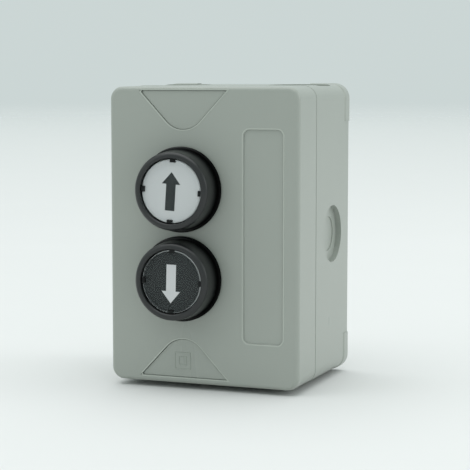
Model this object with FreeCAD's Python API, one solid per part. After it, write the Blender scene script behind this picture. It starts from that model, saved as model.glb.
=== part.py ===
import FreeCAD, Part
import math
import os

os.makedirs("parts", exist_ok=True)
Vector = FreeCAD.Vector

# Surface-mounted box with two push buttons, one above the other.
# X runs to the right, the front looks along -Y and Z is up. The model is drawn from the
# middle of the front face: depths run back from it, and the export moves every piece so
# that the origin lies under the middle of the whole object.

# Housing, as a drafted box that widens towards the wall
face_width = 67.6
face_height = 100.0
housing_depth = 53.0
draft_angle = 0.8
corner_radius = 4.2
least_corner = 0.4
face_edge_radius = 1.35
wall = 2.6
face_thickness = 3.4
back_thickness = 2.6

# Parting line between cover and base
cover_depth = 17.4
seam_gap = 0.08
seam_radius = 0.15
base_step = 0.1
lip = 1.25
spigot_length = 2.2
spigot_clearance = 0.1
gasket_thickness = 1.2

# Label field on the right of the cover
label_x = 21.3
label_rise = 0.5
label_width = 13.6
label_height = 70.8
label_radius = 2.0
label_depth = 0.5
rim_flare = 0.2

# Snap-in inlays that hide the cover screws
inlay_x = -7.1
inlay_half_width = 15.7
inlay_slope = 47.0
inlay_apex_radius = 8.1
inlay_margin = 1.2
bottom_inlay_rise = 0.9
inlay_sink = 0.4
inlay_thickness = 1.3
inlay_clearance = 0.06
inlay_bevel = 0.15
pry_notch_radius = 1.1
peg_radius = 1.2
peg_length = 3.2
peg_spacing = 21.0
peg_margin = 2.6

# Cover screws
screw_inset = 7.0
screw_shank_radius = 1.75
screw_head_radius = 3.4
screw_head_height = 2.3
screw_seat = 7.5
screw_length = 24.0
screw_slot_width = 0.9
boss_radius = 4.6
screw_clearance = 0.3
pilot_clearance = 0.05

# Knockouts for cable glands
side_knockout_radius = 9.85
side_knockout_depth = 1.8
side_knockout_rise = -0.8
end_knockout_radius = 10.9
end_knockout_depth = 0.4
end_knockout_x = 22.2
knockout_inner_share = 0.61
knockout_inner_step = 0.3
knockout_membrane = 0.8
knockout_rim = 1.5

# Back of the base
mount_inset_x = 6.8
mount_inset_z = 7.0
mount_hole_radius = 2.3
mount_boss_radius = 4.6
mount_boss_height = 3.0
back_rim = 5.5
back_relief = 0.7
pad_stand = 0.3
pad_length = 13.3
pad_depth = 6.0
pad_round = 2.5

# Button heads, in a column to the left of the middle
button_x = -7.45
button_rise = 0.8
button_pitch = 30.0
head_turn = {"up": 3.4, "down": 1.5}
travel = 4.5
tail_radius = 10.95
hole_clearance = 0.2
ring_stand = 10.5
ring_radius = 13.0
ring_round = 1.5
ring_bore = 10.85
ring_bevel = 0.25
barrel_taper = 0.5
flange_radius = 14.35
flange_thickness = 1.4
flange_bevel = 0.3
seal_thickness = 0.6
seal_margin = 0.45
cavity_floor = 0.8
tail_length = 14.5
tail_floor = 1.2

# Cap, legend and lens
lens_sink = 0.9
lens_thickness = 0.6
lens_bevel = 0.35
legend_thickness = 0.5
plate_gap = 0.05
cap_clearance = 0.25
lens_clearance = 0.12
tab_width = 1.8
tab_depth = 0.95
tab_clearance = 0.06
tab_stand = 0.05
stem_radius = 8.5
stem_wall = 1.6
running_clearance = 0.08
stop_gap = 0.2
lug_width = 3.0
lug_height = 1.1
lug_length = 2.0
lug_clearance = 0.15
pin_radius = 2.4
pin_clearance = 0.3

# Fixing nut and contact holder
nut_radius = 13.6
nut_thickness = 4.0
nut_notches = 6
nut_notch_width = 3.2
nut_notch_depth = 1.2
thread_clearance = 0.05
holder_thickness = 5.5
holder_height = 26.0
holder_corner = 2.0
arm_thickness = 1.5
arm_height = 8.0
arm_length = 5.5
arm_clearance = 0.1
hook_depth = 0.7
hook_length = 1.4

# Contact block
block_length = 34.0
block_height = 12.0
block_depth = 26.0
block_wall = 1.2
partition = 1.0
terminal_room = 4.5
plunger_width = 7.0
plunger_height = 8.0
plunger_length = 16.0
plunger_clearance = 0.3
pin_gap = 0.1
window_front = 6.6
window_height = 5.0
bridge_thickness = 0.8
bridge_end_gap = 0.3
bridge_width = 4.8
bridge_play = 0.1
tip_radius = 1.5
tip_thickness = 0.7
tip_margin = 1.5
contact_gap = 0.1
strip_thickness = 1.0
strip_width = 5.0
strip_gap = 2.3
strip_clearance = 0.1
terminal_inset = 2.1
terminal_shank_radius = 1.5
terminal_head_radius = 2.0
terminal_head_height = 1.8
terminal_clearance = 0.2
wire_entry_height = 4.4
wire_entry_depth = 4.0

# Springs
return_wire = 0.9
return_radius = 4.9
return_turns = 4
plunger_wire = 0.6
plunger_spring_radius = 2.4
plunger_spring_turns = 3
contact_wire = 0.5
contact_spring_radius = 1.7
contact_spring_turns = 3
spring_seat_gap = 0.05

# Values that follow from the ones above
draft = math.tan(math.radians(draft_angle))
base_front = cover_depth + seam_gap
spigot_tip = base_front - spigot_length
gasket_seat = spigot_tip - gasket_thickness
back_inside = housing_depth - back_thickness
screw_rise = face_height / 2 - screw_inset
mount_x = face_width / 2 - mount_inset_x
mount_z = face_height / 2 - mount_inset_z
base_middle = (base_front + housing_depth) / 2
inlay_pocket = inlay_sink + inlay_thickness
hole_radius = tail_radius + hole_clearance
flange_front = -(seal_thickness + flange_thickness)
floor_y = -cavity_floor
stem_bore = stem_radius + running_clearance
tail_floor_y = tail_length - tail_floor
lens_front = -(ring_stand - lens_sink)
legend_front = lens_front + lens_thickness + plate_gap
cap_front = legend_front + legend_thickness
cap_back = floor_y - stop_gap - travel
cap_radius = ring_bore - cap_clearance
lens_radius = cap_radius - lens_clearance
stem_end = tail_floor_y - stop_gap - travel
lug_back = stem_end - stop_gap
lug_front = lug_back - lug_length
block_front = tail_length
block_back = block_front + block_depth
chamber_front = block_front + block_wall
chamber_back = block_back - block_wall
lid_z = block_height / 2 - block_wall
plunger_front = block_front + pin_gap
plunger_back = plunger_front + plunger_length
window_y = plunger_front + window_front
pin_end = plunger_front - pin_gap
bridge_back = plunger_back - 2 * block_wall
bridge_front = bridge_back - bridge_thickness
strip_tip_front = bridge_back + tip_thickness + travel + contact_gap
strip_front = strip_tip_front + tip_thickness
strip_back = strip_front + strip_thickness
terminal_outer = block_length / 2 - block_wall
terminal_inner = terminal_outer - terminal_room
chamber_half = terminal_inner - partition
bridge_half = chamber_half - bridge_end_gap
tip_x = bridge_half - tip_margin
strip_inner = plunger_width / 2 + strip_gap
strip_outer = terminal_outer - strip_clearance
terminal_x = strip_outer - terminal_inset


def half_width(depth):
    return face_width / 2 + depth * draft


def half_height(depth):
    return face_height / 2 + depth * draft


def rounded_outline(half_x, half_z, radius, depth, centre_x=0.0, centre_z=0.0):
    """Closed wire of a rounded rectangle that stands at one depth."""
    signs = [(1, 1), (-1, 1), (-1, -1), (1, -1)]
    quarters = []
    for number, (sign_x, sign_z) in enumerate(signs):
        middle_x = centre_x + sign_x * (half_x - radius)
        middle_z = centre_z + sign_z * (half_z - radius)
        points = []
        for step in range(3):
            angle = math.radians(90 * number + 45 * step)
            point_x = middle_x + radius * math.cos(angle)
            point_z = middle_z + radius * math.sin(angle)
            points.append(Vector(point_x, depth, point_z))
        quarters.append(points)
    edges = []
    for number, points in enumerate(quarters):
        following = quarters[(number + 1) % 4]
        edges.append(Part.Arc(*points).toShape())
        edges.append(Part.makeLine(points[2], following[0]))
    return Part.Wire(edges)


def drafted_block(front, back, inset=0.0):
    """Solid between two depths whose sides follow the housing's draft."""
    corner = max(corner_radius - inset, least_corner)
    core_x = face_width / 2 - inset - corner
    core_z = face_height / 2 - inset - corner
    near = corner + front * draft
    far = corner + back * draft
    pieces = [
        Part.makeWedge(-core_x - near, front, -core_z, -core_z, -core_x - far,
                       core_x + near, back, core_z, core_z, core_x + far),
        Part.makeWedge(-core_x, front, -core_z - near, -core_z - far, -core_x,
                       core_x, back, core_z + near, core_z + far, core_x),
    ]
    for sign_x in (-1, 1):
        for sign_z in (-1, 1):
            axis_start = Vector(sign_x * core_x, front, sign_z * core_z)
            pieces.append(Part.makeCone(near, far, back - front, axis_start, Vector(0, 1, 0)))
    return pieces[0].fuse(pieces[1:]).removeSplitter()


def rounded_plate(half_x, half_z, radius, front, back, centre_x=0.0, centre_z=0.0):
    outline = rounded_outline(half_x, half_z, radius, front, centre_x, centre_z)
    return Part.Face(outline).extrude(Vector(0, back - front, 0))


def box(x_range, y_range, z_range):
    size = [high - low for low, high in (x_range, y_range, z_range)]
    return Part.makeBox(*size, Vector(x_range[0], y_range[0], z_range[0]))


def rod(radius, front, back, x=0.0, z=0.0):
    return Part.makeCylinder(radius, back - front, Vector(x, front, z), Vector(0, 1, 0))


def tube(outer, inner, front, back, x=0.0, z=0.0):
    return rod(outer, front, back, x, z).cut(rod(inner, front, back, x, z))


def turned(profile):
    """Revolves a closed profile of (radius, depth) points or ready edges about the Y axis."""
    edges = []
    for start, end in zip(profile, profile[1:] + profile[:1]):
        if len(start) == 3:
            edges.append(Part.Arc(*[Vector(radius, depth, 0) for radius, depth in start]).toShape())
            start = start[2]
        first = Vector(start[0], start[1], 0)
        last = end[0] if len(end) == 3 else end
        last = Vector(last[0], last[1], 0)
        if (last - first).Length > 1e-6:
            edges.append(Part.makeLine(first, last))
    face = Part.Face(Part.Wire(edges))
    return face.revolve(Vector(0, 0, 0), Vector(0, 1, 0), 360)


def edges_at(shape, depth):
    """Edges that lie wholly in the plane at one depth."""
    chosen = []
    for edge in shape.Edges:
        bound = edge.BoundBox
        if abs(bound.YMin - depth) < 1e-4 and abs(bound.YMax - depth) < 1e-4:
            chosen.append(edge)
    return chosen


def turn(shape, angle):
    """Turns a head piece clockwise, as seen from the front."""
    turned_shape = shape.copy()
    turned_shape.rotate(Vector(0, 0, 0), Vector(0, 1, 0), angle)
    return turned_shape


def coil(wire, radius, front, back, turns):
    """Open coil spring along Y, as tilted half turns whose ends meet in line."""
    rise = (back - front - wire) / (2 * turns)
    tilt = math.atan(rise / (2 * radius))
    reach = radius / math.cos(tilt)
    halves = []
    for number in range(2 * turns):
        half = Part.makeTorus(reach, wire / 2, Vector(0, 0, 0), Vector(0, 0, 1), 0, 360, 180)
        half.rotate(Vector(0, 0, 0), Vector(0, 1, 0), math.degrees(tilt))
        half.rotate(Vector(0, 0, 0), Vector(0, 0, 1), 180 * number)
        half.rotate(Vector(0, 0, 0), Vector(1, 0, 0), -90)
        half.translate(Vector(0, front + wire / 2 + rise * (number + 0.5), 0))
        halves.append(half)
    return halves[0].fuse(halves[1:]).removeSplitter()


def inlay_outline(depth, inset=0.0):
    """Closed wire of the rounded triangle, flat edge up, at one depth."""
    slope = math.radians(inlay_slope)
    flat_z = face_height / 2 - inlay_margin - inset
    half = inlay_half_width - inset * (1 + math.cos(slope)) / math.sin(slope)
    radius = inlay_apex_radius - inset
    middle_z = flat_z - half * math.tan(slope) + radius / math.cos(slope)
    tangent_x = radius * math.sin(slope)
    tangent_z = middle_z - radius * math.cos(slope)
    left = Vector(inlay_x - half, depth, flat_z)
    right = Vector(inlay_x + half, depth, flat_z)
    arc_left = Vector(inlay_x - tangent_x, depth, tangent_z)
    arc_right = Vector(inlay_x + tangent_x, depth, tangent_z)
    apex = Vector(inlay_x, depth, middle_z - radius)
    return Part.Wire([
        Part.makeLine(right, left),
        Part.makeLine(left, arc_left),
        Part.Arc(arc_left, apex, arc_right).toShape(),
        Part.makeLine(arc_right, right),
    ])


def flared_cutter(outline_at, depth):
    """Tool for a pocket in the face, with a small bevel round its rim.

    outline_at(depth, inset) gives the pocket's outline.
    """
    over = 0.1
    prism = Part.Face(outline_at(-1.0, 0.0)).extrude(Vector(0, depth + 1.0, 0))
    wide = outline_at(-over, -(rim_flare + over))
    narrow = outline_at(rim_flare, 0.0)
    return prism.fuse(Part.makeLoft([wide, narrow], True, True))


def mirror_down(shape):
    return shape.mirror(Vector(0, 0, 0), Vector(0, 0, 1))


def to_bottom_inlay(shape):
    """Mirrored copy for the bottom inlay, which sits a little further from its edge."""
    low = mirror_down(shape)
    low.translate(Vector(0, 0, bottom_inlay_rise))
    return low


def peg_places():
    peg_z = face_height / 2 - inlay_margin - peg_margin
    return [(inlay_x + side * peg_spacing / 2, peg_z) for side in (-1, 1)]


def pry_notch(front, back):
    """Round bite that takes off the outer left corner of an inlay, for a screwdriver tip."""
    corner_z = face_height / 2 - inlay_margin
    return rod(pry_notch_radius, front, back, inlay_x - inlay_half_width, corner_z)


def make_inlay():
    front = inlay_sink
    back = inlay_sink + inlay_thickness
    plate = Part.Face(inlay_outline(front, inlay_clearance)).extrude(Vector(0, inlay_thickness, 0))
    plate = plate.makeChamfer(inlay_bevel, edges_at(plate, front))
    plate = plate.cut(pry_notch(front, back))
    for peg_x, peg_z in peg_places():
        plate = plate.fuse(rod(peg_radius, back, front + peg_length, peg_x, peg_z))
    return plate.removeSplitter()


def inlay_pocket_cutter():
    pocket = flared_cutter(inlay_outline, inlay_pocket)
    peg_hole = peg_radius + inlay_clearance
    for peg_x, peg_z in peg_places():
        pocket = pocket.fuse(rod(peg_hole, inlay_pocket, face_thickness + 1.0, peg_x, peg_z))
    return pocket


def screw_cutter():
    """Stepped hole through the cover for one fixing screw."""
    head = rod(screw_head_radius + screw_clearance, 0.0, screw_seat, button_x, screw_rise)
    shank = rod(screw_shank_radius + screw_clearance, 0.0, cover_depth + 1.0, button_x, screw_rise)
    return head.fuse(shank)


def screw_boss():
    """Pillar round a cover screw, which gives way to the base's lip at its rear end."""
    pillar = rod(boss_radius, face_thickness / 2, cover_depth, button_x, screw_rise)
    core = rod(boss_radius - lip, 0.0, cover_depth, button_x, screw_rise)
    clear_of_lip = drafted_block(0.0, gasket_seat, wall / 2)
    return pillar.common(clear_of_lip.fuse(core))


def label_outline(depth, inset=0.0):
    return rounded_outline(label_width / 2 - inset, label_height / 2 - inset, label_radius - inset,
                           depth, label_x, label_rise)


def make_cover():
    shell = drafted_block(0.0, cover_depth)
    shell = shell.makeFillet(face_edge_radius, edges_at(shell, 0.0))
    shell = shell.makeFillet(seam_radius, edges_at(shell, cover_depth))
    shell = shell.cut(drafted_block(face_thickness, cover_depth + 1.0, wall))
    shell = shell.cut(drafted_block(gasket_seat, cover_depth + 1.0, lip))
    boss = screw_boss()
    shell = shell.fuse([boss, mirror_down(boss)])
    pocket = inlay_pocket_cutter()
    screw_hole = screw_cutter()
    shell = shell.cut([pocket, to_bottom_inlay(pocket)])
    shell = shell.cut([screw_hole, mirror_down(screw_hole)])
    shell = shell.cut(flared_cutter(label_outline, label_depth))
    for centre_z in button_heights.values():
        shell = shell.cut(rod(hole_radius, -1.0, face_thickness + 1.0, button_x, centre_z))
    return shell.removeSplitter()


def make_gasket():
    outer = drafted_block(gasket_seat, spigot_tip, lip + spigot_clearance)
    inner = drafted_block(gasket_seat, spigot_tip, wall)
    return outer.cut(inner)


def make_cover_screw(height):
    tip = screw_seat + screw_length
    head = rod(screw_head_radius, screw_seat - screw_head_height, screw_seat, button_x, height)
    head = head.makeFillet(screw_head_height / 3, edges_at(head, screw_seat - screw_head_height))
    shank = rod(screw_shank_radius, screw_seat, tip, button_x, height)
    shank = shank.makeChamfer(screw_shank_radius / 2, edges_at(shank, tip))
    slot_front = screw_seat - screw_head_height
    slot = box((button_x - screw_head_radius, button_x + screw_head_radius),
               (slot_front, slot_front + screw_head_height / 2),
               (height - screw_slot_width / 2, height + screw_slot_width / 2))
    return head.cut(slot).fuse(shank)


def knockout_pieces(radius, depth, place, outward):
    """Cutters of one knockout, and the boss that backs a deep one inside.

    place is the surface point on its axis and outward the unit direction it faces.
    """
    inner_radius = radius * knockout_inner_share
    inner_depth = depth + knockout_inner_step
    membrane_back = inner_depth + knockout_membrane
    surface = Vector(*place)
    step = Vector(*outward)
    recess = Part.makeCylinder(radius, depth + wall, surface - step * depth, step)
    inner = Part.makeCylinder(inner_radius, inner_depth, surface - step * inner_depth, step)
    if membrane_back > wall:
        boss = Part.makeCylinder(radius + knockout_rim, membrane_back - wall / 2,
                                 surface - step * membrane_back, step)
        return [boss], [recess, inner]
    relief = Part.makeCylinder(inner_radius, wall, surface - step * (membrane_back + wall), step)
    return [], [recess, inner, relief]


def knockout_sites():
    side = half_width(base_middle) + base_step
    top = half_height(base_middle) + base_step
    sites = []
    for sign_x in (-1, 1):
        side_place = (sign_x * side, base_middle, side_knockout_rise)
        sites.append((side_knockout_radius, side_knockout_depth, side_place, (sign_x, 0, 0)))
        for sign_z in (-1, 1):
            end_place = (sign_x * end_knockout_x, base_middle, sign_z * top)
            sites.append((end_knockout_radius, end_knockout_depth, end_place, (0, 0, sign_z)))
    return sites


def mount_places():
    return [(sign_x * mount_x, sign_z * mount_z) for sign_x in (-1, 1) for sign_z in (-1, 1)]


def make_corner_pads():
    """Low pads round the four rear corners, on which the base stands off its sides."""
    front = housing_depth - pad_depth
    slab = drafted_block(front, housing_depth, -(base_step + pad_stand))
    slab = slab.makeFillet(pad_round, edges_at(slab, front))
    reach_x = half_width(housing_depth) + base_step + pad_stand
    reach_z = half_height(housing_depth) + base_step + pad_stand
    corners = []
    for sign_x in (-1, 1):
        for sign_z in (-1, 1):
            x_range = sorted((sign_x * (reach_x - pad_length), sign_x * (reach_x + 1.0)))
            z_range = sorted((sign_z * (reach_z - pad_length), sign_z * (reach_z + 1.0)))
            corners.append(box(x_range, (front, housing_depth), z_range))
    return [slab.common(corner) for corner in corners]


def make_base():
    shell = drafted_block(base_front, housing_depth, -base_step)
    shell = shell.makeFillet(seam_radius, edges_at(shell, base_front))
    shell = shell.fuse(make_corner_pads())
    spigot = drafted_block(spigot_tip, base_front + 1.0, lip + spigot_clearance)
    shell = shell.fuse(spigot)
    shell = shell.cut(drafted_block(spigot_tip - 1.0, back_inside, wall))
    inside = drafted_block(base_front, back_inside + back_thickness / 2, wall / 2)
    boss_front = back_inside - mount_boss_height
    bosses = []
    for sign in (-1, 1):
        bosses.append(rod(boss_radius, base_front, back_inside + 1.0, button_x, sign * screw_rise))
    for x, z in mount_places():
        bosses.append(rod(mount_boss_radius, boss_front, back_inside + 1.0, x, z))
    recesses = []
    for site in knockout_sites():
        site_bosses, site_cutters = knockout_pieces(*site)
        bosses.extend(site_bosses)
        recesses.extend(site_cutters)
    shell = shell.fuse([boss.common(inside) for boss in bosses])
    shell = shell.cut(recesses)
    relief = drafted_block(housing_depth - back_relief, housing_depth + 1.0, back_rim)
    holes = []
    for x, z in mount_places():
        relief = relief.cut(rod(back_rim, back_inside, housing_depth + 1.0, x, z))
        holes.append(rod(mount_hole_radius, boss_front - 1.0, housing_depth + 1.0, x, z))
    pilot_end = screw_seat + screw_length + 1.0
    pilot_radius = screw_shank_radius + pilot_clearance
    for sign in (-1, 1):
        holes.append(rod(pilot_radius, base_front - 1.0, pilot_end, button_x, sign * screw_rise))
    shell = shell.cut([relief] + holes)
    return shell.removeSplitter()


def make_bezel():
    """Fixed ring, flange and tail of one head, with slots for the cap's lugs."""
    front = -ring_stand
    diagonal = ring_round * (1 - math.sqrt(0.5))
    profile = [
        (stem_bore, floor_y),
        (ring_bore, floor_y),
        (ring_bore, front + ring_bevel),
        (ring_bore + ring_bevel, front),
        (
            (ring_radius - ring_round, front),
            (ring_radius - diagonal, front + diagonal),
            (ring_radius, front + ring_round),
        ),
        (ring_radius + barrel_taper, flange_front),
        (flange_radius - flange_bevel, flange_front),
        (flange_radius, flange_front + flange_bevel),
        (flange_radius, -seal_thickness),
        (tail_radius, -seal_thickness),
        (tail_radius, tail_length),
        (pin_radius + pin_clearance, tail_length),
        (pin_radius + pin_clearance, tail_floor_y),
        (stem_bore, tail_floor_y),
    ]
    body = turned(profile)
    slot_half = lug_width / 2 + lug_clearance
    reach = stem_radius + lug_height + lug_clearance
    slot = box((-reach, reach), (lug_front - lug_clearance, tail_floor_y), (-slot_half, slot_half))
    return body.cut(slot)


def tab_boxes(inner, outer, front, back, width):
    boxes = []
    for number in range(4):
        tab = box((inner, outer), (front, back), (-width / 2, width / 2))
        boxes.append(turn(tab, 90 * number))
    return boxes


def make_cap():
    stem_inner = stem_radius - stem_wall
    body = turned([
        (0, cap_front),
        (cap_radius, cap_front),
        (cap_radius, cap_back),
        (stem_radius, cap_back),
        (stem_radius, stem_end),
        (stem_inner, stem_end),
        (stem_inner, cap_back),
        (pin_radius, cap_back),
        (pin_radius, pin_end),
        (0, pin_end),
    ])
    tab_inner = lens_radius - tab_depth
    tabs = tab_boxes(tab_inner, cap_radius + 1.0, lens_front - tab_stand, cap_front + 0.5, tab_width)
    disc = rod(cap_radius, lens_front - tab_stand, cap_front + 0.5)
    lug_reach = stem_radius + lug_height
    lugs = box((-lug_reach, lug_reach), (lug_front, lug_back), (-lug_width / 2, lug_width / 2))
    lugs = lugs.cut(rod(stem_radius - stem_wall / 2, lug_front, lug_back))
    return body.fuse([tab.common(disc) for tab in tabs] + [lugs]).removeSplitter()


def make_disc(front, thickness, bevel=0.0):
    disc = rod(lens_radius, front, front + thickness)
    if bevel:
        disc = disc.makeChamfer(bevel, edges_at(disc, front))
    notch_inner = lens_radius - tab_depth - tab_clearance
    notch_width = tab_width + 2 * tab_clearance
    back = front + thickness
    return disc.cut(tab_boxes(notch_inner, lens_radius + 1.0, front - 1.0, back + 1.0, notch_width))


def make_nut():
    front = face_thickness
    back = front + nut_thickness
    ring = tube(nut_radius, tail_radius + thread_clearance, front, back)
    notch = box((nut_radius - nut_notch_depth, nut_radius + 1.0),
                (front + nut_thickness / 4, back + 1.0),
                (-nut_notch_width / 2, nut_notch_width / 2))
    notches = []
    for number in range(nut_notches):
        notches.append(turn(notch, 360 / nut_notches * number))
    return ring.cut(notches)


def make_holder():
    """Carrier on the tail, with two arms that hook over the contact block's ends."""
    front = tail_length - holder_thickness
    half_x = block_length / 2 + arm_clearance + arm_thickness
    plate = rounded_plate(half_x, holder_height / 2, holder_corner, front, block_front)
    plate = plate.cut(rod(tail_radius + thread_clearance, front - 1.0, block_front + 1.0))
    arms = []
    for sign in (-1, 1):
        inner = block_length / 2 + arm_clearance
        arm_x = sorted((sign * inner, sign * half_x))
        hook_x = sorted((sign * (inner - hook_depth), sign * half_x))
        hook_y = (block_front + arm_length, block_front + arm_length + hook_length)
        arms.append(box(arm_x, (block_front, hook_y[1]), (-arm_height / 2, arm_height / 2)))
        arms.append(box(hook_x, hook_y, (-arm_height / 2, arm_height / 2)))
    return plate.fuse(arms).removeSplitter()


def make_contact_housing():
    """Open-topped case of the contact block, with chambers for the bridge and the terminals."""
    half = block_length / 2
    bottom = -block_height / 2
    case = box((-half, half), (block_front, block_back), (bottom, lid_z))
    low = bottom + block_wall
    over = lid_z + 1.0
    guide_x = plunger_width / 2 + plunger_clearance
    guide_z = plunger_height / 2 + plunger_clearance
    cutters = [
        box((-chamber_half, chamber_half), (chamber_front, chamber_back), (low, over)),
        box((-guide_x, guide_x), (block_front - 1.0, chamber_front + 1.0), (-guide_z, guide_z)),
    ]
    terminal_y = (strip_front - 2 * block_wall, chamber_back)
    slot_y = (strip_front - strip_clearance, strip_back + strip_clearance)
    slot_z = (-strip_width / 2 - strip_clearance, over)
    entry_y = (strip_back, strip_back + wire_entry_depth)
    entry_z = (-wire_entry_height / 2, wire_entry_height / 2)
    hook_front = block_front + arm_length
    hook_y = (hook_front - arm_clearance, hook_front + hook_length + arm_clearance)
    hook_z = (-arm_height / 2 - arm_clearance, arm_height / 2 + arm_clearance)
    well_radius = terminal_head_radius + terminal_clearance
    for sign in (-1, 1):
        terminal_range = sorted((sign * terminal_inner, sign * terminal_outer))
        slot_range = sorted((sign * (chamber_half - 1.0), sign * (terminal_inner + 1.0)))
        entry_range = sorted((sign * (terminal_outer - 1.0), sign * (half + 1.0)))
        hook_range = sorted((sign * (half - hook_depth), sign * (half + 1.0)))
        cutters.append(box(terminal_range, terminal_y, (low, over)))
        cutters.append(box(slot_range, slot_y, slot_z))
        cutters.append(box(entry_range, entry_y, entry_z))
        cutters.append(box(hook_range, hook_y, hook_z))
        cutters.append(rod(well_radius, chamber_back - 1.0, block_back + 1.0, sign * terminal_x))
    return case.cut(cutters)


def make_contact_lid():
    half = block_length / 2
    return box((-half, half), (block_front, block_back), (lid_z, lid_z + block_wall))


def make_plunger():
    half_x = plunger_width / 2
    half_z = plunger_height / 2
    body = box((-half_x, half_x), (plunger_front, plunger_back), (-half_z, half_z))
    window = box((-plunger_width, plunger_width), (window_y, bridge_back + bridge_play),
                 (-window_height / 2, window_height / 2))
    return body.cut(window)


def make_bridge():
    half_z = bridge_width / 2
    bar = box((-bridge_half, bridge_half), (bridge_front, bridge_back), (-half_z, half_z))
    tip_back = bridge_back + tip_thickness
    tips = [rod(tip_radius, bridge_back, tip_back, sign * tip_x) for sign in (-1, 1)]
    return bar.fuse(tips).removeSplitter()


def make_fixed_contacts():
    """Two separate strips, each with a tip under the bridge and a terminal end."""
    strips = []
    hole = terminal_shank_radius + terminal_clearance
    for sign in (-1, 1):
        strip_x = sorted((sign * strip_inner, sign * strip_outer))
        strip = box(strip_x, (strip_front, strip_back), (-strip_width / 2, strip_width / 2))
        strip = strip.fuse(rod(tip_radius, strip_tip_front, strip_front, sign * tip_x))
        strip = strip.cut(rod(hole, strip_front - 1.0, strip_back + 1.0, sign * terminal_x))
        strips.append(strip.removeSplitter())
    return Part.makeCompound(strips)


def make_terminal_screws():
    screws = []
    head_back = block_back - block_wall / 2
    head_front = head_back - terminal_head_height
    for sign in (-1, 1):
        x = sign * terminal_x
        head = rod(terminal_head_radius, head_front, head_back, x)
        slot = box((x - terminal_head_radius, x + terminal_head_radius),
                   (head_back - terminal_head_height / 2, head_back + 1.0),
                   (-screw_slot_width / 2, screw_slot_width / 2))
        shank = rod(terminal_shank_radius, strip_front - block_wall, head_front, x)
        screws.append(head.cut(slot).fuse(shank).removeSplitter())
    return Part.makeCompound(screws)


def make_head(angle):
    """Pieces of one button head and its contact block, on the button's own axis."""
    seal_outer = flange_radius - seal_margin
    return {
        "bezel": turn(make_bezel(), angle),
        "seal_ring": tube(seal_outer, hole_radius, -seal_thickness, 0.0),
        "fixing_nut": make_nut(),
        "cap": turn(make_cap(), angle),
        "legend": turn(make_disc(legend_front, legend_thickness), angle),
        "lens": turn(make_disc(lens_front, lens_thickness, lens_bevel), angle),
        "return_spring": coil(return_wire, return_radius, cap_back + spring_seat_gap,
                              tail_floor_y - spring_seat_gap, return_turns),
        "contact_holder": make_holder(),
        "contact_housing": make_contact_housing(),
        "contact_lid": make_contact_lid(),
        "plunger": make_plunger(),
        "contact_bridge": make_bridge(),
        "contact_spring": coil(contact_wire, contact_spring_radius, window_y + spring_seat_gap,
                               bridge_front - spring_seat_gap, contact_spring_turns),
        "plunger_spring": coil(plunger_wire, plunger_spring_radius, plunger_back + spring_seat_gap,
                               chamber_back - spring_seat_gap, plunger_spring_turns),
        "fixed_contacts": make_fixed_contacts(),
        "terminal_screws": make_terminal_screws(),
    }


button_heights = {"up": button_rise + button_pitch / 2, "down": button_rise - button_pitch / 2}

# The origin lies on the standing plane, under the middle of the whole object.
front_shift = -(housing_depth - ring_stand) / 2
standing_height = half_height(housing_depth) + base_step + pad_stand
origin_shift = Vector(0, front_shift, standing_height)


def save(name, shape):
    placed = shape.copy()
    placed.translate(origin_shift)
    placed.exportStep("parts/" + name + ".step")
    print(name, "solids", len(placed.Solids), "valid", placed.isValid())


save("front_cover", make_cover())
save("rear_base", make_base())
save("cover_gasket", make_gasket())
save("top_inlay", make_inlay())
save("bottom_inlay", to_bottom_inlay(make_inlay()))
save("cover_screws", Part.makeCompound([make_cover_screw(screw_rise), make_cover_screw(-screw_rise)]))
for button, centre_z in button_heights.items():
    for piece, shape in make_head(head_turn[button]).items():
        shape.translate(Vector(button_x, 0, centre_z))
        save(button + "_" + piece, shape)
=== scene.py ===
from math import pi, radians

import bmesh
import bpy
from mathutils import Matrix, Vector


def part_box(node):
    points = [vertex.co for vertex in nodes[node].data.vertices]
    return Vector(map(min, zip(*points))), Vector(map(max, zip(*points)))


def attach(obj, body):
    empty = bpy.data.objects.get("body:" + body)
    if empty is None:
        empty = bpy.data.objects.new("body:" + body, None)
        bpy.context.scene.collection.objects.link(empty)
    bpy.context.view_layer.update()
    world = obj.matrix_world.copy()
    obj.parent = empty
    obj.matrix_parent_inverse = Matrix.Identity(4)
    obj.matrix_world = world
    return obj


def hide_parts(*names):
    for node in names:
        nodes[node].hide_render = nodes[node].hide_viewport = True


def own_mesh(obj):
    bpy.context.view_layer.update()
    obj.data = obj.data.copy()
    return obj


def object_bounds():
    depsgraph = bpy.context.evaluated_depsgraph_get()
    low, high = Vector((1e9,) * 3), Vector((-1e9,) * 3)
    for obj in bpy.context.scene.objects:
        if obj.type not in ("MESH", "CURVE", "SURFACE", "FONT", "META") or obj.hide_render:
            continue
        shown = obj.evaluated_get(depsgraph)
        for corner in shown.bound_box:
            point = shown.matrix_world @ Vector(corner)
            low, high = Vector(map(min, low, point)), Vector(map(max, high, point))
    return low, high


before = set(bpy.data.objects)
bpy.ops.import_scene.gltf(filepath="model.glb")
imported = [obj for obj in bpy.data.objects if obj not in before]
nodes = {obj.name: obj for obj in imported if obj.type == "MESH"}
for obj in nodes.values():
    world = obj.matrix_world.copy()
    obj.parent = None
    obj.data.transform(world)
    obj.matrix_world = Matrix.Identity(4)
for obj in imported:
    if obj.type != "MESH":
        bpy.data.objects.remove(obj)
cadLow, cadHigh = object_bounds()  # the CAD box, before anything is added
buttons = ("up", "down")
mm = 0.001
mergeDistance = 1e-7  # m, points closer than this become one
faceMiddle = (cadLow.z + cadHigh.z) / 2
upright = Matrix.Rotation(radians(90), 4, "X")  # turns a flat shape to face the front
print("frame loaded:", len(nodes), "nodes")


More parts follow.
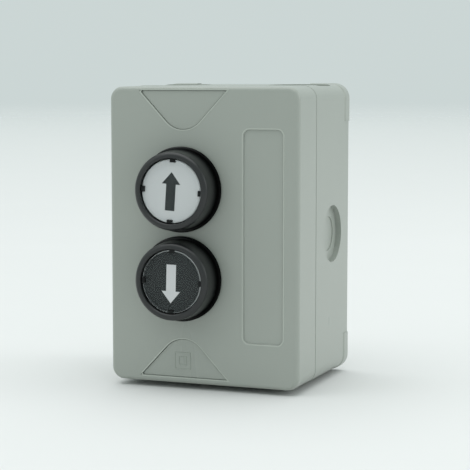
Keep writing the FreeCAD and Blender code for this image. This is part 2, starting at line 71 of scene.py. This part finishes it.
# Camera, at the photograph's angle
cameraSetup = {
    "place": (189.16, -492.4, 102.47),  # mm
    "turn": 20.66,  # degrees to the left of straight ahead
    "tilt": 5.69,  # degrees down
    "lens": 117.14,
    "sensor": 36.0,
    "nearest": 0.01,  # m
    "farthest": 50,  # m
}


def makeCamera(setup):
    data = bpy.data.cameras.new("studioCamera")
    data.lens = setup["lens"]
    data.sensor_width = setup["sensor"]
    data.clip_start = setup["nearest"]
    data.clip_end = setup["farthest"]
    made = bpy.data.objects.new("studioCamera", data)
    made.location = Vector(setup["place"]) * mm
    made.rotation_euler = (radians(90 - setup["tilt"]), 0, radians(setup["turn"]))
    bpy.context.scene.collection.objects.link(made)
    bpy.context.scene.camera = made
    bpy.context.scene.view_settings.view_transform = "Standard"  # the photograph's plain tones


makeCamera(cameraSetup)
print("camera placed")


# Shader sums are written as plain expressions on sockets
class Wire:
    def __init__(self, sheet, socket):
        self.sheet = sheet
        self.socket = socket

    def combine(self, operation, first, second):
        return self.sheet.add("ShaderNodeMath", {"operation": operation}, {0: first, 1: second})

    def __add__(self, other):
        return self.combine("ADD", self, other)

    def __radd__(self, other):
        return self.combine("ADD", other, self)

    def __sub__(self, other):
        return self.combine("SUBTRACT", self, other)

    def __rsub__(self, other):
        return self.combine("SUBTRACT", other, self)

    def __mul__(self, other):
        return self.combine("MULTIPLY", self, other)

    def __rmul__(self, other):
        return self.combine("MULTIPLY", other, self)

    def __pow__(self, other):
        return self.combine("POWER", self, other)

    def __rpow__(self, other):
        return self.combine("POWER", other, self)


def rgb(colour):
    return (*colour, 1.0)


# One material, with its nodes
class Sheet:
    def __init__(self, name):
        self.material = bpy.data.materials.new(name)
        self.material.use_nodes = True
        self.tree = self.material.node_tree
        self.shader = self.tree.nodes["Principled BSDF"]
        self.place = self.add("ShaderNodeTexCoord", output="Object")

    def connect(self, value, socket):  # a plain value is set on the socket itself
        if isinstance(value, Wire):
            self.tree.links.new(value.socket, socket)
        else:
            socket.default_value = value

    def add(self, kind, settings=None, inputs=None, output=0):
        node = self.tree.nodes.new(kind)
        for name, value in (settings or {}).items():
            setattr(node, name, value)
        for name, value in (inputs or {}).items():
            self.connect(value, node.inputs[name])
        return Wire(self, node.outputs[output])

    def feed(self, name, value):
        self.connect(value, self.shader.inputs[name])

    def along(self, axis):
        return self.add("ShaderNodeSeparateXYZ", None, {"Vector": self.place}, output=axis)

    def vectorSum(self, operation, first, second):
        return self.add("ShaderNodeVectorMath", {"operation": operation}, {0: first, 1: second})

    def noise(self, scale, detail=2, stretch=None):
        place = self.place
        if stretch:
            place = self.add("ShaderNodeMapping", None, {"Vector": place, "Scale": stretch})
        return self.add("ShaderNodeTexNoise", None,
                        {"Vector": place, "Scale": scale, "Detail": detail})

    def clampBetween(self, value, low, high):  # 0 below low, 1 above high, smooth in between
        return self.add("ShaderNodeMapRange", {"interpolation_type": "SMOOTHSTEP"},
                        {"Value": value, "From Min": low, "From Max": high})

    def mixColours(self, factor, first, second):
        return self.add("ShaderNodeMix", {"data_type": "RGBA"},
                        {0: factor, 6: rgb(first), 7: rgb(second)}, output=2)

    def clouded(self, colour, amount, pattern):  # patches a little darker and lighter
        darker = [part * (1 - amount) for part in colour]
        lighter = [part * (1 + amount) for part in colour]
        return self.mixColours(pattern, darker, lighter)

    def bump(self, height, strength, distance):
        return self.add("ShaderNodeBump", None,
                        {"Height": height, "Strength": strength, "Distance": distance})


# Moulded plastics: a base colour, soft clouding, a spark-eroded grain and uneven gloss
plastics = {
    "greyHousing": {"colour": (0.346, 0.370, 0.336), "cloud": 0.025, "rough": 0.28,
                    "uneven": 0.04, "grain": 2600, "grainDepth": 0.006},
    "blackMoulding": {"colour": (0.0135, 0.0150, 0.0155), "cloud": 0.25, "rough": 0.32,
                      "uneven": 0.12, "grain": 3200, "grainDepth": 0.012},
    "capBlack": {"colour": (0.006, 0.007, 0.0072), "cloud": 0.2, "rough": 0.5,
                 "uneven": 0.10, "grain": 3200, "grainDepth": 0.012, "shine": 0.2},
    # a shade darker than the housing: painted shade that sets the moulded sign off
    "signShadeGrey": {"colour": (0.335, 0.365, 0.325), "cloud": 0.02, "rough": 0.5,
                 "uneven": 0.05, "grain": 2600, "grainDepth": 0.012},
    # paler than the housing: a painted highlight for the rims of the label field and the inlay
    # pockets
    "paintedHighlightBead": {"colour": (0.43, 0.46, 0.415), "cloud": 0.04, "rough": 0.30,
                 "uneven": 0.05, "grain": 2600, "grainDepth": 0.006},
    "darkContact": {"colour": (0.030, 0.032, 0.034), "cloud": 0.2, "rough": 0.5,
                    "uneven": 0.10, "grain": 3000, "grainDepth": 0.01},
    "paleContact": {"colour": (0.56, 0.56, 0.52), "cloud": 0.05, "rough": 0.45,
                    "uneven": 0.10, "grain": 3000, "grainDepth": 0.01},
}
mouldMarks = {
    "cloudScale": 32,
    "cloudDetail": 3,
    "flowScale": 60,
    "flowStretch": (1.0, 1.0, 0.18),  # the gloss varies in tall patches
    "grainStrength": 0.35,
    "shine": 0.5,  # of a plastic that states none
}


def mouldedPlastic(finish, name=None):
    look = plastics[finish]
    sheet = Sheet(name or finish)
    cloud = sheet.noise(mouldMarks["cloudScale"], mouldMarks["cloudDetail"])
    sheet.feed("Base Color", sheet.clouded(look["colour"], look["cloud"], cloud))
    flow = sheet.noise(mouldMarks["flowScale"], stretch=mouldMarks["flowStretch"])
    grain = sheet.noise(look["grain"])
    sheet.feed("Roughness", look["rough"] - look["uneven"] / 2 + flow * look["uneven"])
    sheet.feed("Normal", sheet.bump(grain, mouldMarks["grainStrength"], look["grainDepth"] * mm))
    sheet.feed("Specular IOR Level", look.get("shine", mouldMarks["shine"]))
    return sheet


# The button heads carry painted shade: a deep black is mixed in towards the flange, and more of
# it on the right side, where hardly any light gets in
headShade = {
    "start": 3.0,  # mm behind the ring's front
    "end": 8.6,
    "sideStart": -4.0,  # mm to the right of the button's middle
    "sideEnd": 9.0,
    "left": 0.45,  # share of painted shade on the left side, and on the right one
    "right": 0.93,
    "paintedShadeBlack": (0.001, 0.001, 0.001),
}


def shadedHeadPlastic(button):
    low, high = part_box(button + "_bezel")
    middle = (low + high) / 2
    sheet = mouldedPlastic("blackMoulding", button + "HeadBlackAndShade")
    depth = sheet.clampBetween(sheet.along("Y"), low.y + headShade["start"] * mm,
                               low.y + headShade["end"] * mm)
    side = sheet.clampBetween(sheet.along("X"), middle.x + headShade["sideStart"] * mm,
                              middle.x + headShade["sideEnd"] * mm)
    amount = depth * (headShade["left"] + side * (headShade["right"] - headShade["left"]))
    # painted shade: a plain deep black mixed over the plastic by the depth and side masks
    black = sheet.add("ShaderNodeBsdfDiffuse", None, {"Color": rgb(headShade["paintedShadeBlack"])})
    plastic = Wire(sheet, sheet.shader.outputs[0])
    mixed = sheet.add("ShaderNodeMixShader", None, {0: amount, 1: plastic, 2: black})
    sheet.connect(mixed, sheet.tree.nodes["Material Output"].inputs["Surface"])
    return sheet.material


# Printed plates under the lenses
platesAndInks = {
    "whitePlate": {"colour": (0.56, 0.575, 0.58), "cloud": 0.02, "rough": 0.55},
    "darkPlate": {"colour": (0.025, 0.029, 0.0295), "cloud": 0.05, "rough": 0.6},
    "darkInk": {"colour": (0.028, 0.033, 0.0335), "cloud": 0.05, "rough": 0.6},
    "whiteInk": {"colour": (0.60, 0.605, 0.615), "cloud": 0.03, "rough": 0.6},
}
printMarks = {"fleckScale": 160, "sheenScale": 300, "sheen": 0.08, "shine": 0.15}


def printedPlate(name):
    look = platesAndInks[name]
    sheet = Sheet(name)
    fleck = sheet.noise(printMarks["fleckScale"])
    sheet.feed("Base Color", sheet.clouded(look["colour"], look["cloud"], fleck))
    sheen = sheet.noise(printMarks["sheenScale"])
    sheet.feed("Roughness", look["rough"] + sheen * printMarks["sheen"])
    sheet.feed("Specular IOR Level", printMarks["shine"])
    return sheet.material


# Metals that are worked in one direction
metals = {
    "springWire": {"colour": (0.52, 0.52, 0.51), "rough": 0.28, "stretch": (1, 6, 1)},
    "plainBrass": {"colour": (0.72, 0.55, 0.28), "rough": 0.32, "stretch": (1, 8, 1)},
    "zincSteel": {"colour": (0.60, 0.60, 0.585), "rough": 0.30, "stretch": (1, 1, 6)},
}
metalMarks = {
    "streakScale": 900,
    "streakDetail": 3,
    "dull": 0.82,  # share of the colour where a streak is dullest
    "uneven": 0.12,
    "streakStrength": 0.2,
    "streakDepth": 0.01,  # mm
}


def workedMetal(name):
    look = metals[name]
    sheet = Sheet(name)
    streaks = sheet.noise(metalMarks["streakScale"], metalMarks["streakDetail"], look["stretch"])
    dull = [part * metalMarks["dull"] for part in look["colour"]]
    sheet.feed("Base Color", sheet.mixColours(streaks, dull, look["colour"]))
    sheet.feed("Metallic", 1.0)
    sheet.feed("Roughness", look["rough"] + streaks * metalMarks["uneven"])
    sheet.feed("Normal", sheet.bump(streaks, metalMarks["streakStrength"],
                                    metalMarks["streakDepth"] * mm))
    return sheet.material


# Black rubber with a faint bloom
rubberLook = {
    "dark": (0.016, 0.016, 0.016),
    "pale": (0.032, 0.032, 0.031),
    "bloomScale": 220,
    "bloomDetail": 3,
    "rough": 0.72,
    "uneven": 0.12,
    "grainScale": 1800,
    "grainStrength": 0.3,
    "grainDepth": 0.02,  # mm
}


def sealRubber(look):
    sheet = Sheet("sealRubber")
    bloom = sheet.noise(look["bloomScale"], look["bloomDetail"])
    sheet.feed("Base Color", sheet.mixColours(bloom, look["dark"], look["pale"]))
    sheet.feed("Roughness", look["rough"] + bloom * look["uneven"])
    grain = sheet.noise(look["grainScale"])
    sheet.feed("Normal", sheet.bump(grain, look["grainStrength"], look["grainDepth"] * mm))
    return sheet.material


# Clear lens: almost nothing in its middle, with a painted highlight along its moulded edge,
# paler on the side towards the light
lensLook = {
    "clear": 0.008,
    "edgeWidth": 0.36,  # mm in from the rim, where the edge begins to show
    "edgeFull": 0.1,  # mm in from the rim, where it shows in full
    "highlightAway": 0.16,  # strength of the painted highlight on the side away from the light
    "highlightLit": 0.9,
    "lightFrom": (0.8, 0, 0.6),
    "litStart": -0.2,  # shares of the radius, towards the light, over which the painted highlight grows
    "litEnd": 0.9,
    "highlightTint": (0.80, 0.84, 0.84),
    "rough": 0.16,
    "uneven": 0.05,
    "unevenScale": 400,
}


def clearLens(button):
    low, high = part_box(button + "_lens")
    middle = (low + high) / 2
    radius = (high.x - low.x) / 2
    sheet = Sheet(button + "ClearLens")
    centred = sheet.vectorSum("SUBTRACT", sheet.place, middle)
    flat = sheet.vectorSum("MULTIPLY", centred, (1, 0, 1))
    reach = sheet.add("ShaderNodeVectorMath", {"operation": "LENGTH"}, {0: flat}, output="Value")
    # painted highlight: the rim grows opaque and pale, most on the side facing lightFrom
    edge = sheet.clampBetween(reach, radius - lensLook["edgeWidth"] * mm,
                              radius - lensLook["edgeFull"] * mm)
    toLight = sheet.add("ShaderNodeVectorMath", {"operation": "DOT_PRODUCT"},
                        {0: flat, 1: lensLook["lightFrom"]}, output="Value")
    lit = sheet.clampBetween(toLight, lensLook["litStart"] * radius, lensLook["litEnd"] * radius)
    strength = lensLook["highlightAway"] + lit * (lensLook["highlightLit"] - lensLook["highlightAway"])
    sheet.feed("Base Color", rgb(lensLook["highlightTint"]))
    sheet.feed("Alpha", lensLook["clear"] + edge * strength)
    haze = sheet.noise(lensLook["unevenScale"])
    sheet.feed("Roughness", lensLook["rough"] + haze * lensLook["uneven"])
    sheet.material.surface_render_method = "BLENDED"
    return sheet.material


# Which finish each node wears
housingFinish = mouldedPlastic("greyHousing").material
blackFinish = mouldedPlastic("blackMoulding").material
capFinish = mouldedPlastic("capBlack").material
signShadeFinish = mouldedPlastic("signShadeGrey").material
beadHighlightFinish = mouldedPlastic("paintedHighlightBead").material
darkContactFinish = mouldedPlastic("darkContact").material
paleContactFinish = mouldedPlastic("paleContact").material
rubberFinish = sealRubber(rubberLook)
wireFinish = workedMetal("springWire")
brassFinish = workedMetal("plainBrass")
screwFinish = workedMetal("zincSteel")
headFinishes = {
    "cap": capFinish,
    "fixing_nut": blackFinish,
    "seal_ring": rubberFinish,
    "return_spring": wireFinish,
    "plunger_spring": wireFinish,
    "contact_spring": wireFinish,
    "contact_holder": darkContactFinish,
    "contact_housing": darkContactFinish,
    "contact_lid": darkContactFinish,
    "plunger": paleContactFinish,
    "contact_bridge": brassFinish,
    "fixed_contacts": brassFinish,
    "terminal_screws": screwFinish,
}
nodeFinishes = {
    "front_cover": housingFinish,
    "rear_base": housingFinish,
    "top_inlay": housingFinish,
    "bottom_inlay": housingFinish,
    "cover_gasket": rubberFinish,
    "cover_screws": screwFinish,
}
legendPlates = {"up": "whitePlate", "down": "darkPlate"}
for button in buttons:
    for piece, finish in headFinishes.items():
        nodeFinishes[button + "_" + piece] = finish
    nodeFinishes[button + "_bezel"] = shadedHeadPlastic(button)
    nodeFinishes[button + "_legend"] = printedPlate(legendPlates[button])
    nodeFinishes[button + "_lens"] = clearLens(button)


def dress(node, finish):
    slots = nodes[node].material_slots
    if len(slots) == 0:
        nodes[node].data.materials.append(finish)
    for slot in slots:
        slot.material = finish


for node, finish in nodeFinishes.items():
    dress(node, finish)
print("finishes given to", len(nodeFinishes), "nodes")


# Steps that the new pieces share
def raiseFront(shape, height):  # a flat shape gets thick towards the front
    raised = bmesh.ops.extrude_face_region(shape, geom=shape.faces[:])["geom"]
    moved = [item for item in raised if isinstance(item, bmesh.types.BMVert)]
    bmesh.ops.translate(shape, verts=moved, vec=(0, -height, 0))


def placeInMetres(shape, place):  # a shape drawn in mm goes to its place in the frame
    bmesh.ops.scale(shape, verts=shape.verts, vec=(mm, mm, mm))
    bmesh.ops.translate(shape, verts=shape.verts, vec=place)


def finishMesh(name, shape, material, body):
    bmesh.ops.remove_doubles(shape, verts=shape.verts, dist=mergeDistance)
    bmesh.ops.recalc_face_normals(shape, faces=shape.faces)
    mesh = bpy.data.meshes.new(name)
    shape.to_mesh(mesh)
    shape.free()
    mesh.materials.append(material)
    piece = bpy.data.objects.new(name, mesh)
    bpy.context.scene.collection.objects.link(piece)
    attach(piece, body)
    return piece


# Arrows printed on the two plates, in mm
arrowLook = {
    "shaftWidth": 3.4,
    "headWidth": 6.6,
    "headLength": 4.0,
    "inkThickness": 0.03,
    "sideways": -0.3,
}
arrows = {
    "up": {"length": 12.8, "rise": -0.1, "turn": 3.75, "ink": "darkInk", "points": 1},
    "down": {"length": 12.9, "rise": -0.8, "turn": 1.5, "ink": "whiteInk", "points": -1},
}


def makeArrow(button):
    arrow = arrows[button]
    low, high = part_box(button + "_legend")
    middle = (low + high) / 2
    shaftLength = arrow["length"] - arrowLook["headLength"]
    half = arrow["length"] / 2
    shape = bmesh.new()
    shaft = Matrix.Translation((0, 0, -half + shaftLength / 2)) @ upright
    shaft = shaft @ Matrix.Diagonal((arrowLook["shaftWidth"], shaftLength, 1, 1))
    bmesh.ops.create_grid(shape, x_segments=1, y_segments=1, size=0.5, matrix=shaft)
    triangleWidth, triangleLength = 3 ** 0.5, 1.5  # of a triangle whose radius is 1
    head = Matrix.Translation((0, 0, half - arrowLook["headLength"] * 2 / 3)) @ upright
    head = head @ Matrix.Diagonal((arrowLook["headWidth"] / triangleWidth,
                                   arrowLook["headLength"] / triangleLength, 1, 1))
    bmesh.ops.create_circle(shape, cap_ends=True, segments=3, radius=1, matrix=head)
    raiseFront(shape, arrowLook["inkThickness"])
    if arrow["points"] < 0:
        bmesh.ops.rotate(shape, verts=shape.verts, cent=(0, 0, 0),
                         matrix=Matrix.Rotation(pi, 3, "Y"))
    bmesh.ops.translate(shape, verts=shape.verts, vec=(arrowLook["sideways"], 0, arrow["rise"]))
    bmesh.ops.rotate(shape, verts=shape.verts, cent=(0, 0, 0),
                     matrix=Matrix.Rotation(radians(arrow["turn"]), 3, "Y"))
    placeInMetres(shape, (middle.x, low.y, middle.z))
    finishMesh(button + "Arrow", shape, printedPlate(arrow["ink"]), button + "_button")


for button in buttons:
    makeArrow(button)
print("arrows printed")


# Double insulation sign, two nested square frames moulded on the lower inlay in a slightly
# darker grey as painted shade, in mm
signLook = {
    "outer": 5.8,
    "inner": 2.9,
    "line": 0.42,
    "height": 0.12,
    "across": -0.75,  # from the inlay's middle
    "rise": -42.3,  # from the middle of the front
}


def makeSign():
    low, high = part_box("bottom_inlay")
    centre = Vector(((low.x + high.x) / 2 + signLook["across"] * mm, low.y,
                     faceMiddle + signLook["rise"] * mm))
    shape = bmesh.new()
    for side in (signLook["outer"], signLook["inner"]):
        made = bmesh.ops.create_grid(shape, x_segments=1, y_segments=1, size=side / 2,
                                     matrix=upright)
        face = made["verts"][0].link_faces[0]
        bmesh.ops.inset_region(shape, faces=[face], thickness=signLook["line"],
                               use_boundary=True)
        bmesh.ops.delete(shape, geom=[face], context="FACES_ONLY")
    raiseFront(shape, signLook["height"])
    placeInMetres(shape, centre)
    finishMesh("insulationSign", shape, signShadeFinish, "housing")


makeSign()
print("sign moulded")


# Fine raised beads edge the label field and the inlay pockets, in a paler grey than the walls as
# a painted highlight along the rims. All in mm: a bead starts beyond the gap round an inlay and
# the flare of the rim
beadLook = {
    "width": 0.40,
    "height": 0.06,
    "flare": 0.2,
    "clearance": 0.06,
    "faceDepth": 0.01,  # an inlay's outline is taken from faces this close to its front
    "facing": -0.99,  # whose normals point this much to the front, or more
}
labelLook = {
    "across": 21.3,
    "rise": 0.5,
    "width": 13.6,
    "height": 70.8,
    "corner": 2.0,
    "cornerSteps": 8,
}
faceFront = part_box("front_cover")[0].y


def makeBead(name, shape, start):
    inside = shape.faces[:]
    options = {"faces": inside, "use_boundary": True, "use_even_offset": True}
    gap = bmesh.ops.inset_region(shape, thickness=-start * mm, **options)["faces"]
    bmesh.ops.delete(shape, geom=gap, context="FACES")
    bmesh.ops.inset_region(shape, thickness=-beadLook["width"] * mm, **options)
    bmesh.ops.delete(shape, geom=inside, context="FACES_ONLY")
    depth = next(iter(shape.verts)).co.y
    bmesh.ops.translate(shape, verts=shape.verts, vec=(0, faceFront - depth, 0))
    raiseFront(shape, beadLook["height"] * mm)
    finishMesh(name, shape, beadHighlightFinish, "housing")


def makeInlayBead(inlay, name):
    low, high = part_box(inlay)
    shape = bmesh.new()
    shape.from_mesh(nodes[inlay].data)
    bmesh.ops.remove_doubles(shape, verts=shape.verts, dist=mergeDistance)
    deepest = low.y + beadLook["faceDepth"] * mm
    rest = [face for face in shape.faces
            if face.normal.y >= beadLook["facing"] or face.calc_center_median().y >= deepest]
    bmesh.ops.delete(shape, geom=rest, context="FACES")
    makeBead(name, shape, beadLook["clearance"] + beadLook["flare"])


def makeLabelBead():
    shape = bmesh.new()
    place = Matrix.Translation((labelLook["across"], 0, labelLook["rise"])) @ upright
    place = place @ Matrix.Diagonal((labelLook["width"], labelLook["height"], 1, 1))
    bmesh.ops.create_grid(shape, x_segments=1, y_segments=1, size=0.5, matrix=place)
    bmesh.ops.bevel(shape, geom=shape.verts[:], offset=labelLook["corner"],
                    segments=labelLook["cornerSteps"], profile=0.5, affect="VERTICES",
                    material=-1)
    placeInMetres(shape, (0, 0, faceMiddle))
    makeBead("labelBead", shape, beadLook["flare"])


makeInlayBead("top_inlay", "topInlayBead")
makeInlayBead("bottom_inlay", "bottomInlayBead")
makeLabelBead()
print("beads moulded")


# Return and plunger springs shorten as a button goes in; copies of their coils ride on the
# housing in their place, and the originals are hidden
squeezedSprings = {"return_spring": "ReturnSpring", "plunger_spring": "PlungerSpring"}


def makeSqueezedSpring(button, kind):
    node = button + "_" + kind
    shape = bmesh.new()
    shape.from_mesh(nodes[node].data)
    spring = finishMesh(button + squeezedSprings[kind], shape, wireFinish, "housing")
    for face in spring.data.polygons:
        face.use_smooth = True
    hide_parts(node)
    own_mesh(spring)


for button in buttons:
    for kind in squeezedSprings:
        makeSqueezedSpring(button, kind)


# Pale studio: a paper floor that fades into the backdrop
studio = {
    "floorRadius": 8.0,  # m
    "floorSides": 96,
    "footGap": 0.8,  # mm, so that the foot of the box stands in deep shade
    "fadeStart": 0.45,  # m from the middle
    "fadePower": 0.5,
    "floorColour": (0.740, 0.740, 0.735),
    "floorShade": 0.985,  # share of the colour in its darker patches
    "patchScale": 14,
    "floorRough": 0.75,
    "sky": (0.600, 0.672, 0.664),
}
# Soft light from above, from the right and, faintly, from the left front
lights = {
    "overheadSun": {"kind": "SUN", "from": (-0.10, 0.0, 0.97), "angle": 75, "power": 1.55},
    "rightPanel": {"kind": "AREA", "from": (1.0, 0.25, 0.45), "size": 0.7, "power": 2.3},
    "leftPanel": {"kind": "AREA", "from": (-0.40, -0.40, 0.35), "size": 0.3, "power": 0.2},
}


def makeFloor():
    shape = bmesh.new()
    floorPlace = Matrix.Translation((0, 0, cadLow.z - studio["footGap"] * mm))
    bmesh.ops.create_circle(shape, cap_ends=True, segments=studio["floorSides"],
                            radius=studio["floorRadius"], matrix=floorPlace)
    mesh = bpy.data.meshes.new("studioFloor")
    shape.to_mesh(mesh)
    shape.free()
    floor = bpy.data.objects.new("studioFloor", mesh)
    bpy.context.scene.collection.objects.link(floor)
    sheet = Sheet("paperFloor")
    reach = sheet.add("ShaderNodeVectorMath", {"operation": "LENGTH"}, {0: sheet.place},
                      output="Value")
    fade = sheet.clampBetween(reach, studio["fadeStart"], studio["floorRadius"])
    pale = studio["floorColour"]
    shade = [part * studio["floorShade"] for part in pale]
    sheet.feed("Base Color", sheet.mixColours(sheet.noise(studio["patchScale"]), shade, pale))
    sheet.feed("Roughness", studio["floorRough"])
    sheet.feed("Alpha", 1 - fade ** studio["fadePower"])
    mesh.materials.append(sheet.material)


def makeSky():
    world = bpy.data.worlds.new("studioSky")
    bpy.context.scene.world = world
    world.use_nodes = True
    world.node_tree.nodes["Background"].inputs["Color"].default_value = rgb(studio["sky"])


def makeLight(name):
    light = lights[name]
    data = bpy.data.lights.new(name, light["kind"])
    data.energy = light["power"]
    if light["kind"] == "SUN":
        data.angle = radians(light["angle"])
    else:
        data.shape = "DISK"
        data.size = light["size"]
    lamp = bpy.data.objects.new(name, data)
    lamp.location = light["from"]
    lamp.rotation_euler = Vector(light["from"]).to_track_quat("Z", "Y").to_euler()
    bpy.context.scene.collection.objects.link(lamp)


makeFloor()
makeSky()
for name in lights:
    makeLight(name)
print("studio lit")
